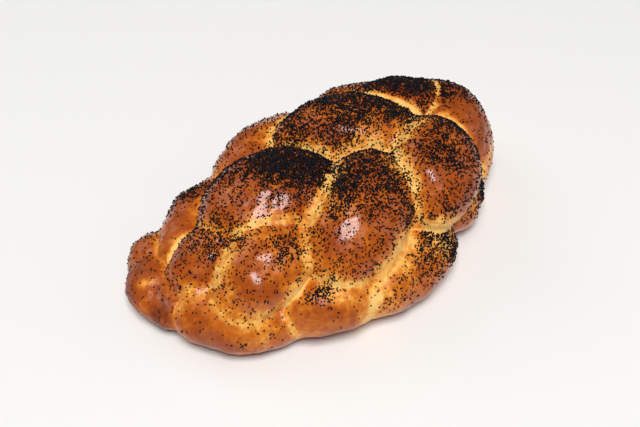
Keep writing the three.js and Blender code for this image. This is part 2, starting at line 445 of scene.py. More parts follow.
@dataclass
class Dough:
    """The baked shape: where rays from a flat core leave the last of the lobes in their way.

    The core's and the balls' numbers come first, then those of the foot, which is its middle and
    half axes, and of the folds, where lobes blend over blend_gap millimetres. The relief is dents
    and dimples all over, and puckers that are higher within pucker_gap of a fold. It rises from
    nothing to its full height over relief_rise above the floor.
    """

    length: float
    width: float
    height: float
    rings: int = 360
    spokes: int = 270
    core_height: float = 22
    core_length_share: float = 0.74
    core_width_share: float = 0.5
    ray_margin: float = 18
    ring_power: float = 0.9
    girth_power: float = 0.8
    top_bias: float = 0.45
    balls: int = 17
    bow_shift: float = 0.5
    drop_power: float = 2.2
    end_taper: float = 0.2
    taper_power: float = 2.5
    lean_along: float = 0.7
    lean_across: float = 1.6
    wall_start: float = 0.93
    most_between: float = 1
    foot_softness: float = 4
    core_fill: float = 0.3
    foot: tuple[float, float, float, float] = (-7, -7, 120, 66)
    foot_roundness: float = 1.8
    foot_fall: float = 150
    groove_width: float = 1.6
    evenings: int = 2
    blend_gap: float = 8
    dents: Ripple = Ripple(34, 3, 0.8)
    dimples: Ripple = Ripple(12, 5, 0.28)
    puckers: Ripple = Ripple(5, 11, waves=30)
    pucker_height: float = 0.07
    fold_pucker_height: float = 0.2
    pucker_gap: float = 7
    relief_rise: Span = (1.0, 10.0)

    def rays(self) -> Rays:
        """Lays the rays out from the head to the tail and round each ring.

        Ring i of n stands at the cosine of pi i / n along the loaf, and the spokes are crowded
        on the upper side by adding a cosine to their even angles.

        Returns:
            The rays on a grid of rings and spokes.
        """
        angle = np.pi * np.arange(self.rings + 1) / self.rings
        along = -np.sign(np.cos(angle)) * np.abs(np.cos(angle)) ** self.ring_power
        girth = np.clip(np.sin(angle), 0, None)[:, None] ** self.girth_power
        even = 2 * np.pi * np.arange(self.spokes) / self.spokes
        turn = even + self.top_bias * np.cos(even)
        x = np.repeat((along * (self.length / 2 + self.ray_margin))[:, None], self.spokes, 1)
        rise = np.where(np.sin(turn) > 0, self.height - self.core_height, self.core_height)
        level = np.full_like(x, self.core_height)
        start = np.stack([
            x * self.core_length_share,
            girth * self.core_width_share * self.width / 2 * np.cos(turn),
            level,
        ], -1)
        end = np.stack([
            x,
            girth * (self.width / 2 + self.ray_margin) * np.cos(turn),
            level + girth * (rise + self.ray_margin) * np.sin(turn),
        ], -1)
        span = np.linalg.norm(end - start, axis=-1)
        return Rays(start, (end - start) / span[..., None], span)

    def string(self, lobe: Lobe) -> tuple[Array, Array]:
        """The balls along a lobe's bowed string, which shrink and dip towards its ends.

        With t from -1 at the head to 1 at the tail, the string swings aside by its bow times
        bow_shift less the square of t, and it dips and tapers with powers of t.

        Args:
            lobe: The lobe.

        Returns:
            The balls' middles and radii.
        """
        habit = HABITS[lobe.column]
        t = np.linspace(-1, 1, self.balls)
        angle = math.radians(lobe.heading)
        swing = habit.bow * (self.bow_shift - t * t)
        drop = np.where(t < 0, habit.head_drop, habit.tail_drop) * np.abs(t) ** self.drop_power
        middles = np.stack([
            lobe.x - math.cos(angle) * t * lobe.half + math.sin(angle) * swing,
            lobe.y + math.sin(angle) * t * lobe.half + math.cos(angle) * swing,
            lobe.z - drop,
        ], -1)
        return middles, lobe.radius * (1 - self.end_taper * np.abs(t) ** self.taper_power)

    def rounding(self, lobe: Lobe) -> Array:
        """The matrix that stretches space until a lobe's flattened section is round.

        It is the unit matrix plus 1 / flat - 1 times the outer product of the lobe's upward
        direction with itself, which leans outwards with the lobe's place.

        Args:
            lobe: The lobe.

        Returns:
            A three by three matrix.
        """
        up = np.array([
            self.lean_along * lobe.x / self.length,
            self.lean_across * lobe.y / self.width,
            1.0,
        ])
        up /= np.linalg.norm(up)
        return np.eye(3) + (1 / HABITS[lobe.column].flat - 1) * np.outer(up, up)

    def cap_height(self, distance: Array, radius: Array) -> Array:
        """Height of a ball over its middle: a circle, with a straight flank beyond its edge.

        Args:
            distance: How far aside of the middle.
            radius: The ball's radius.

        Returns:
            The heights.
        """
        share = distance / radius
        edge = math.sqrt(1 - self.wall_start ** 2)
        cap = np.sqrt(np.clip(1 - share * share, 0, None))
        flank = edge - (share - self.wall_start) * self.wall_start / edge
        return radius * np.where(share < self.wall_start, cap, flank)

    def reach(self, rays: Rays, lobe: Lobe) -> Array:
        """How far along each ray a lobe reaches: the peak of a parabola over its farthest balls.

        Args:
            rays: The rays.
            lobe: The lobe.

        Returns:
            The lengths along the rays.
        """
        middles, radii = self.string(lobe)
        rounding = self.rounding(lobe)
        middles, start = middles @ rounding, rays.start @ rounding
        direction = rays.direction @ rounding
        scale = np.linalg.norm(direction, axis=-1)
        direction = direction / scale[..., None]
        lengths = []
        for middle, radius in zip(middles, radii):
            to_middle = middle - start
            along = (to_middle * direction).sum(-1)
            aside = np.sqrt(np.clip((to_middle ** 2).sum(-1) - along ** 2, 0, None))
            lengths.append(along + self.cap_height(aside, radius))
        lengths = np.stack(lengths)
        best = np.clip(lengths.argmax(0), 1, self.balls - 2)
        low, top, high = (np.take_along_axis(lengths, best[None] + k, 0)[0] for k in (-1, 0, 1))
        bend = np.clip(2 * top - low - high, TINY, None)
        between = np.minimum((high - low) ** 2 / (8 * bend), self.most_between)
        return np.maximum(lengths.max(0), top + between) / scale

    def foot_lengths(self, rays: Rays) -> tuple[Array, Array]:
        """Distance to the floor, and to the flat foot, which gives way outside its outline.

        The outline is a superellipse, and beyond it the foot's distance is less by foot_fall
        times how far outside the place is, in shares of the outline's size.

        Args:
            rays: The rays.

        Returns:
            The lengths to the floor and to the foot.
        """
        falls = rays.direction[..., 2] < -LEVEL_FALL
        slope = np.where(falls, rays.direction[..., 2], -1)
        floor = np.where(falls, -rays.start[..., 2] / slope, FAR_OFF)
        hit = rays.start + np.where(falls, floor, 0)[..., None] * rays.direction
        x, y, half_length, half_width = self.foot
        power = self.foot_roundness
        across = (np.abs((hit[..., 0] - x) / half_length) ** power
                  + np.abs((hit[..., 1] - y) / half_width) ** power) ** (1 / power)
        foot = np.where(falls, floor - self.foot_fall * np.clip(across - 1, 0, None), 0)
        return floor, foot

    def settle(self, length: Array, floor: Array) -> Array:
        """Cuts lengths off at the floor, less a parabola where they nearly end at it.

        Args:
            length: Lengths along the rays.
            floor: Lengths to the floor.

        Returns:
            The cut lengths.
        """
        share = np.clip(self.foot_softness - np.abs(length - floor), 0, None) / self.foot_softness
        soft = np.minimum(length, floor) - share * share * self.foot_softness / 4
        return np.where(length > floor + self.foot_softness, floor, soft)

    def skin(self, box_low: Array, box_high: Array) -> Skin:
        """Works out the crust: reach of the two farthest lobes, grooved folds, foot and relief.

        Args:
            box_low: Lowest corner that the crust may reach.
            box_high: Highest corner that the crust may reach.

        Returns:
            The crust's surface.
        """
        rays = self.rays()
        reaches = np.stack([self.reach(rays, lobe) for lobe in LOBES])
        order = np.argsort(reaches, 0)
        lobe, second = order[-1], order[-2]
        first, other = (np.take_along_axis(reaches, k[None], 0)[0] for k in (lobe, second))
        gap = first - other
        soft = fold_table(lambda fold, _: fold.soft)[lobe, second]
        groove = fold_table(lambda fold, _: fold.groove)[lobe, second]
        length = soft_max(first, other, soft) - groove * np.exp(-(gap / self.groove_width) ** 2)
        length = self.even_out(length, self.evenings)
        length = np.maximum(length, self.core_fill * rays.span)
        floor, foot = self.foot_lengths(rays)
        length = self.settle(soft_max(length, foot, self.foot_softness), floor)
        points = rays.start + length[..., None] * rays.direction
        points = self.relief(points, gap)
        points = self.fit(points, box_low, box_high)
        fold, pair = self.folds(points, lobe, reaches)
        share = 0.5 + 0.5 * np.clip(gap / self.blend_gap, 0, 1)
        on_first = lobe == pair[0]
        row, column = np.where(on_first, pair[0], pair[1]), np.where(on_first, pair[1], pair[0])
        bare = fold_table(lambda fold, _: fold.bare)[row, column]
        reach = fold_table(lambda fold, first: fold.first_reach if first else fold.second_reach)
        clean = fold_table(lambda fold, _: fold.clean)[row, column]
        return Skin(points, self.normals(points), lobe, second, share, fold, bare,
                    reach[row, column], clean)

    @staticmethod
    def even_out(length: Array, passes: int) -> Array:
        """Averages each length with its neighbours' on the grid, which count half as much.

        Args:
            length: Lengths on rings and spokes.
            passes: How many times.

        Returns:
            The evened lengths.
        """
        for _ in range(passes):
            length = (np.roll(length, 1, 1) + 2 * length + np.roll(length, -1, 1)) / 4
            length[1:-1] = (length[:-2] + 2 * length[1:-1] + length[2:]) / 4
        return length

    @staticmethod
    def normals(points: Array) -> Array:
        """Unit normals that point out of the loaf: cross products of the grid's two steps.

        Args:
            points: Points on rings and spokes.

        Returns:
            One normal for each point.
        """
        along = np.gradient(points, axis=0)
        across = np.roll(points, -1, 1) - np.roll(points, 1, 1)
        normal = np.cross(across, along)
        size = np.linalg.norm(normal, axis=-1, keepdims=True)
        return normal / np.where(size > LEAST_NORMAL, size, 1)

    def relief(self, points: Array, gap: Array) -> Array:
        """Moves the skin along its normals by dents, dimples, puckers and creases, off the foot.

        Args:
            points: Points on rings and spokes.
            gap: How far the nearest lobe stands beyond the next, in millimetres.

        Returns:
            The moved points.
        """
        normals = self.normals(points)
        clear = smooth_step(points[..., 2], *self.relief_rise)
        near_fold = np.exp(-(gap / self.pucker_gap) ** 2)
        pucker = self.pucker_height + self.fold_pucker_height * near_fold
        height = self.dents.at(points) + self.dimples.at(points) + pucker * self.puckers.at(points)
        for crease in CREASES:
            height = height - crease.depth * crease.strength(points)
        return points + normals * (clear * height)[..., None]

    @staticmethod
    def fit(points: Array, low: Array, high: Array) -> Array:
        """Moves and scales the points so that they fill a box from its floor upwards.

        Args:
            points: Points on rings and spokes.
            low: The box's lowest corner.
            high: The box's highest corner.

        Returns:
            The fitted points.
        """
        flat = points.reshape(-1, 3)
        least, most = flat.min(0), flat.max(0)
        return low + (points - least) * (high - low) / (most - least)

    @staticmethod
    def folds(points: Array, lobe: Array, reaches: Array) -> tuple[Array, Array]:
        """How far each point is from the nearest fold, and which lobes meet there.

        A fold runs between two neighbours on the grid that belong to different lobes, where the
        difference between the reaches of those lobes passes through zero. Every second such
        place is enough.

        Args:
            points: Points on rings and spokes.
            lobe: Each point's lobe.
            reaches: Each lobe's reach at each point.

        Returns:
            The distance in millimetres, and the two lobes' numbers.
        """
        places, pairs = [], []
        for axis in (0, 1):
            beside, next_lobe = np.roll(points, -1, axis), np.roll(lobe, -1, axis)
            there = next_lobe != lobe
            if axis == 0:
                there[-1] = False
            here = np.stack([lobe, next_lobe])
            lead = np.take_along_axis(reaches, here, 0)
            beyond = np.take_along_axis(np.roll(reaches, -1, axis + 1), here, 0)
            before, after = (lead[0] - lead[1])[there], (beyond[0] - beyond[1])[there]
            step = (before / np.maximum(before - after, TINY))[:, None]
            places.append(points[there] * (1 - step) + beside[there] * step)
            pairs.append(here[:, there])
        places, pairs = np.concatenate(places)[::2], np.concatenate(pairs, 1)[:, ::2]
        places = places.astype(np.float32)
        flat = points.reshape(-1, 3).astype(np.float32)
        distance, nearest = np.empty(len(flat)), np.empty(len(flat), int)
        for first in range(0, len(flat), BATCH):
            batch = slice(first, first + BATCH)
            part = flat[batch]
            square = (part ** 2).sum(1)[:, None] + (places ** 2).sum(1) - 2 * part @ places.T
            nearest[batch] = square.argmin(1)
            distance[batch] = np.sqrt(np.clip(square.min(1), 0, None))
        return distance.reshape(lobe.shape), pairs[:, nearest].reshape(2, *lobe.shape)


class Shade:
    """A shader socket that takes part in Python arithmetic."""

    def __init__(self, tree: "Nodes", socket: Any) -> None:
        """Wraps a socket of a node tree."""
        self.tree = tree
        self.socket = socket

    def _math(self, operation: str, first: Any, second: Any) -> "Shade":
        """Adds one Math node.

        Args:
            operation: The Math node's operation.
            first: A number or a Shade.
            second: A number or a Shade.

        Returns:
            The node's value.
        """
        node = self.tree.node("ShaderNodeMath", {"operation": operation}, {0: first, 1: second})
        return Shade(self.tree, node.outputs[0])

    def __add__(self, other: Any) -> "Shade":
        """Sum."""
        return self._math("ADD", self, other)

    __radd__ = __add__

    def __sub__(self, other: Any) -> "Shade":
        """Difference."""
        return self._math("SUBTRACT", self, other)

    def __rsub__(self, other: Any) -> "Shade":
        """Difference the other way round."""
        return self._math("SUBTRACT", other, self)

    def __mul__(self, other: Any) -> "Shade":
        """Product."""
        return self._math("MULTIPLY", self, other)

    __rmul__ = __mul__

    def between(self, low: float, high: float) -> "Shade":
        """Softly graded from 0 at low to 1 at high.

        Args:
            low: Where the rise starts.
            high: Where the rise ends.

        Returns:
            The graded value.
        """
        settings = {"interpolation_type": "SMOOTHSTEP"}
        sockets = {"Value": self, "From Min": low, "From Max": high}
        node = self.tree.node("ShaderNodeMapRange", settings, sockets)
        return Shade(self.tree, node.outputs["Result"])


class Nodes:
    """A material's node tree, filled from one method."""

    def __init__(self, name: str) -> None:
        """Starts an empty material.

        Args:
            name: The material's name.
        """
        self.material = bpy.data.materials.new(name)
        self.material.use_nodes = True
        self.tree = self.material.node_tree
        self.tree.nodes.clear()

    def node(self, kind: str, settings: dict[str, Any], sockets: dict[Any, Any]) -> Any:
        """Adds a node, sets it up, and fills or links its sockets.

        Args:
            kind: The node's type.
            settings: The node's own properties, set first.
            sockets: Values or Shades by the socket's name or number.

        Returns:
            The node.
        """
        node = self.tree.nodes.new(kind)
        for key, value in settings.items():
            setattr(node, key, value)
        for key, value in sockets.items():
            if isinstance(value, Shade):
                self.tree.links.new(value.socket, node.inputs[key])
            else:
                node.inputs[key].default_value = value
        return node

    def attribute(self, name: str) -> Shade:
        """A number kept on the mesh."""
        node = self.node("ShaderNodeAttribute", {"attribute_name": name}, {})
        return Shade(self, node.outputs["Fac"])

    def place(self) -> Shade:
        """The place on the object, in metres."""
        return Shade(self, self.node("ShaderNodeTexCoord", {}, {}).outputs["Object"])

    def noise(self, place: Shade, scale: float, detail: float = 3, rough: float = 0.55) -> Shade:
        """Cloudy noise around one half.

        Args:
            place: Where to read it.
            scale: How many clouds a metre holds.
            detail: How many finer layers.
            rough: How strong the finer layers are.

        Returns:
            The noise's value.
        """
        sockets = {"Vector": place, "Scale": scale, "Detail": detail, "Roughness": rough}
        return Shade(self, self.node("ShaderNodeTexNoise", {}, sockets).outputs["Fac"])

    def blend(self, share: Any, first: Any, second: Any) -> Shade:
        """Mixes two colours.

        Args:
            share: How much of the second colour.
            first: A colour or a Shade.
            second: A colour or a Shade.

        Returns:
            The mixed colour.
        """
        node = self.node("ShaderNodeMix", {"data_type": "RGBA"}, {0: share, 6: first, 7: second})
        return Shade(self, node.outputs[2])

    def bump(self, height: Shade, strength: float, distance: float, under: Any = None) -> Shade:
        """Relief that only bends the light.

        Args:
            height: The relief.
            strength: How much of it shows.
            distance: Height in metres of a relief of one.
            under: Relief that this one is laid on, if any.

        Returns:
            The bent normal.
        """
        sockets = {"Height": height, "Strength": strength, "Distance": distance}
        if under is not None:
            sockets["Normal"] = under
        return Shade(self, self.node("ShaderNodeBump", {}, sockets).outputs["Normal"])

    def grain(self, place: Shade, grain: "Grain", under: Any = None) -> Shade:
        """Noise as relief that only bends the light.

        Args:
            place: Where to read the noise.
            grain: The noise and its height.
            under: Relief that this one is laid on, if any.

        Returns:
            The bent normal.
        """
        noise = self.noise(place, grain.scale, grain.detail, grain.rough)
        return self.bump(noise, grain.strength, grain.height, under)

    def finish(self, sockets: dict[str, Any]) -> bpy.types.Material:
        """Closes the tree with one shader.

        Args:
            sockets: What the shader's sockets hold.

        Returns:
            The material.
        """
        shader = self.node("ShaderNodeBsdfPrincipled", {}, sockets)
        self.node("ShaderNodeOutputMaterial", {}, {"Surface": Shade(self, shader.outputs[0])})
        return self.material


@dataclass(frozen=True)
class Grain:
    """Noise relief: clouds a metre, finer layers, strength, metres high, and the layers' share."""

    scale: float
    detail: float
    strength: float
    height: float
    rough: float = 0.55


@dataclass(frozen=True)
class Band:
    """A step of the baking: how baked the crust is where it starts and ends, and its colour."""

    start: float
    end: float
    colour: Colour


@dataclass(frozen=True)
class CrustFinish:
    """Egg-glazed crust, from the pale dough in the folds through golden and brown to scorched."""

    cream: Colour = (0.92, 0.580, 0.190, 1)
    bands: tuple[Band, ...] = (
        Band(-0.1, 0.08, (0.92, 0.480, 0.105, 1)),  # pale
        Band(0.06, 0.26, (0.76, 0.285, 0.034, 1)),  # golden
        Band(0.2, 0.48, (0.54, 0.132, 0.007, 1)),  # amber
        Band(0.42, 0.74, (0.36, 0.066, 0.004, 1)),  # brown
        Band(0.74, 1.15, (0.16, 0.027, 0.004, 1)),  # scorched
    )
    cloud_scale: float = 38
    cloud_share: float = 0.9
    dapple_scale: float = 150
    dapple_share: float = 0.55
    fleck_scale: float = 340
    fleck_share: float = 0.5
    streak_share: float = 0.6
    streak_pace: float = 0.45
    streak_drift: float = 45.0
    streak_skew: Span = (0.3, 1.7)
    unglazed: Span = (0.05, 0.4)
    dry_rough: float = 0.5
    glaze_smoothing: float = 0.2
    fleck_rough: float = 0.2
    coat: float = 0.33
    flour: Grain = Grain(1100, 3, 0.2, 0.0004, 0.6)
    pores: Grain = Grain(520, 2, 0.3, 0.0007)
    blisters: Grain = Grain(230, 3, 0.3, 0.0012)
    stretch_strength: float = 0.5
    stretch_height: float = 0.0012

    def material(self) -> bpy.types.Material:
        """Builds the crust's material.

        Returns:
            The material.
        """
        nodes = Nodes("glazed_crust")
        place = nodes.place()
        cloud = nodes.noise(place, self.cloud_scale, 5, 0.62) - NOISE_MEAN
        fleck = nodes.noise(place, self.fleck_scale) - NOISE_MEAN
        dapple = nodes.noise(place, self.dapple_scale) - NOISE_MEAN
        streak = nodes.noise(self.along_fold(nodes), 1.0, 3, 0.6) - NOISE_MEAN
        near = nodes.attribute("pale")
        baked = (nodes.attribute("tone") + cloud * self.cloud_share + dapple * self.dapple_share
                 + fleck * self.fleck_share + streak * near * self.streak_share)
        colour = self.cream
        for band in self.bands:
            colour = nodes.blend(baked.between(band.start, band.end), colour, band.colour)
        bare = 1 - baked.between(*self.unglazed)
        glaze = nodes.attribute("gloss") * (1 - bare)
        skin = nodes.grain(place, self.flour)
        skin = nodes.bump(streak * near, self.stretch_strength, self.stretch_height, skin)
        skin = nodes.grain(place, self.pores, skin)
        skin = nodes.grain(place, self.blisters, skin)
        return nodes.finish({
            "Base Color": colour,
            "Roughness": self.dry_rough - glaze * self.glaze_smoothing + fleck * self.fleck_rough,
            "Coat Weight": glaze * self.coat,
            "Coat Roughness": 0.14,
            "Specular IOR Level": 0.22,
            "Sheen Weight": 0.14,
            "Sheen Roughness": 0.35,
            "Sheen Tint": (1.0, 0.96, 0.93, 1),
            "Subsurface Weight": 0.05,
            "Subsurface Radius": (1.0, 0.35, 0.1),
            "Subsurface Scale": 0.003,
            "Normal": skin,
        })

    def along_fold(self, nodes: Nodes) -> Shade:
        """Coordinates that run fast away from a fold and slowly along it, for stretch marks.

        Args:
            nodes: The material's nodes.

        Returns:
            The slowed place plus the distance from the fold, shared out unevenly over the axes.
        """
        away = nodes.attribute("fold") * self.streak_pace
        y_skew, z_skew = self.streak_skew
        slow = nodes.node("ShaderNodeVectorMath", {"operation": "SCALE"}, {
            0: nodes.place(), "Scale": self.streak_drift})
        shift = nodes.node("ShaderNodeCombineXYZ", {}, {
            0: away, 1: away * y_skew, 2: away * z_skew})
        total = nodes.node("ShaderNodeVectorMath", {"operation": "ADD"}, {
            0: Shade(nodes, slow.outputs[0]), 1: Shade(nodes, shift.outputs[0])})
        return Shade(nodes, total.outputs[0])


@dataclass(frozen=True)
class SeedFinish:
    """Dry matt seed skin, a little lighter or darker from seed to seed."""

    name: str
    dark: Colour
    light: Colour
    rough: float = 0.6
    tone_share: float = 0.8
    speck_scale: float = 2600
    speck_share: float = 0.5
    speck_rough: float = 0.1
    speck_strength: float = 0.3
    speck_height: float = 0.0002

    def material(self) -> bpy.types.Material:
        """Builds the material.

        Returns:
            The material.
        """
        nodes = Nodes(self.name)
        speck = nodes.noise(nodes.place(), self.speck_scale, 2)
        tone = nodes.attribute("tone") * self.tone_share
        share = tone + (speck - NOISE_MEAN) * self.speck_share
        colour = nodes.blend(share.between(0.0, 1.0), self.dark, self.light)
        return nodes.finish({
            "Base Color": colour,
            "Roughness": self.rough + (speck - NOISE_MEAN) * self.speck_rough,
            "Specular IOR Level": 0.1,
            "Normal": nodes.bump(speck, self.speck_strength, self.speck_height),
        })


SEED_FINISHES = {
    SeedKind.BLACK: SeedFinish(
        "poppy_black", (0.002, 0.002, 0.003, 1), (0.007, 0.006, 0.007, 1)),
    SeedKind.INKY: SeedFinish(
        "poppy_inky", (0.002, 0.002, 0.004, 1), (0.007, 0.008, 0.013, 1), 0.55),
    SeedKind.SLATE: SeedFinish(
        "poppy_slate", (0.005, 0.005, 0.008, 1), (0.022, 0.023, 0.032, 1)),
    SeedKind.BROWN: SeedFinish(
        "poppy_brown", (0.008, 0.004, 0.003, 1), (0.030, 0.015, 0.009, 1)),
}


def mesh_object(name: str, points: Array, faces: Array, smooth: bool = True) -> bpy.types.Object:
    """Makes an object of a mesh worked out in millimetres.

    Args:
        name: The object's name.
        points: Corners in millimetres.
        faces: Corner numbers, three or four for each face.
        smooth: Whether the faces shade smoothly.

    Returns:
        The object, linked to the scene and standing at the origin.
    """
    mesh = bpy.data.meshes.new(name)
    mesh.from_pydata((points * METRES).tolist(), [], faces.tolist())
    mesh.polygons.foreach_set("use_smooth", np.full(len(mesh.polygons), smooth))
    mesh.update()
    thing = bpy.data.objects.new(name, mesh)
    bpy.context.scene.collection.objects.link(thing)
    return thing


def keep_numbers(thing: bpy.types.Object, name: str, values: Array) -> None:
    """Stores one number for each corner on a mesh.

    Args:
        thing: The object.
        name: The attribute's name.
        values: The numbers.
    """
    layer = thing.data.attributes.new(name, "FLOAT", "POINT")
    layer.data.foreach_set("value", np.asarray(values, np.float32).ravel())


@dataclass
class Crust:
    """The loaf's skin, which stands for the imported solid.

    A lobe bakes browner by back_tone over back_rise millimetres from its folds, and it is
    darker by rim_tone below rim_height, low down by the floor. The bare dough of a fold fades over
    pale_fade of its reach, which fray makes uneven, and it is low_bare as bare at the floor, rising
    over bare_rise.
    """

    dough: Dough
    low: Array
    high: Array
    finish: CrustFinish = field(default_factory=CrustFinish)
    back_tone: float = 0.26
    back_rise: Span = (2, 20)
    rim_tone: float = 0.12
    rim_height: Span = (0, 12)
    least_tone: float = 0.02
    blotches: Ripple = Ripple(32, 9, 0.08)
    fray: Ripple = Ripple(26, 21, 0.22)
    least_reach: float = 0.3
    pale_fade: Span = (0.35, 1.5)
    low_bare: float = 0.5
    bare_rise: Span = (2, 16)
    crease_spread: float = 1.5

    def build(self) -> tuple[bpy.types.Object, Skin]:
        """Builds and dresses the crust.

        Returns:
            The object, and the surface that it was made from.
        """
        skin = self.dough.skin(self.low, self.high)
        keep = np.ones(skin.lobe.shape, bool)
        keep[0, 1:] = keep[-1, 1:] = False
        points = skin.points[keep]
        thing = mesh_object("crust", points, self.faces(skin.lobe.shape))
        numbers = {"tone": self.tone(skin), "pale": self.pale(skin), "fold": skin.fold,
                   "gloss": skin.blended(lambda lobe: lobe.gloss)}
        for name, values in numbers.items():
            keep_numbers(thing, name, values[keep])
        thing.data.materials.append(self.finish.material())
        return thing, skin

    @staticmethod
    def faces(shape: tuple[int, ...]) -> Array:
        """Two triangles for each cell between the rings, and a fan round either tip.

        Args:
            shape: How many rings and spokes the surface has, with each tip as a ring.

        Returns:
            The corner numbers of the triangles.
        """
        rings, spokes = shape
        number = np.arange((rings - 2) * spokes).reshape(rings - 2, spokes) + 1
        beside = np.roll(number, -1, 1)
        a, b, c, d = number[:-1], beside[:-1], number[1:], beside[1:]
        quads = np.stack([a, d, c, a, b, d], -1).reshape(-1, 3)
        last = number.size + 1
        head = np.stack([np.zeros(spokes, int), beside[0], number[0]], -1)
        tail = np.stack([np.full(spokes, last), number[-1], beside[-1]], -1)
        return np.concatenate([head, quads, tail])

    def pale(self, skin: Skin) -> Array:
        """How bare the dough is: its fold's share, fading over that fold's reach, or a crease's.

        Args:
            skin: The crust's surface.

        Returns:
            Shares from 0 to about 1.
        """
        reach = skin.reach * np.exp(self.fray.at(skin.points))
        away = skin.fold / np.maximum(reach, self.least_reach)
        near = 1 - smooth_step(away, *self.pale_fade)
        above = smooth_step(skin.points[..., 2], *self.bare_rise)
        total = skin.bare * near * (self.low_bare + (1 - self.low_bare) * above)
        for crease in CREASES:
            here = crease.bare * crease.strength(skin.points, self.crease_spread)
            total = np.maximum(total, here)
        return total

    def tone(self, skin: Skin) -> Array:
        """How brown the crust is, from 0 for bare dough to 1 for scorched.

        A lobe's own tone deepens from the folds up to its back and low down at the rim, and
        the bareness of the folds takes it away.

        Args:
            skin: The crust's surface.

        Returns:
            Numbers around 0 to 1.
        """
        base = skin.blended(lambda lobe: lobe.tone)
        back = smooth_step(skin.fold, *self.back_rise) * self.back_tone
        rim = (1 - smooth_step(skin.points[..., 2], *self.rim_height)) * self.rim_tone
        full = base - 0.5 * self.back_tone + back + rim + self.blotches.at(skin.points)
        return full * (1 - self.pale(skin)) + self.least_tone


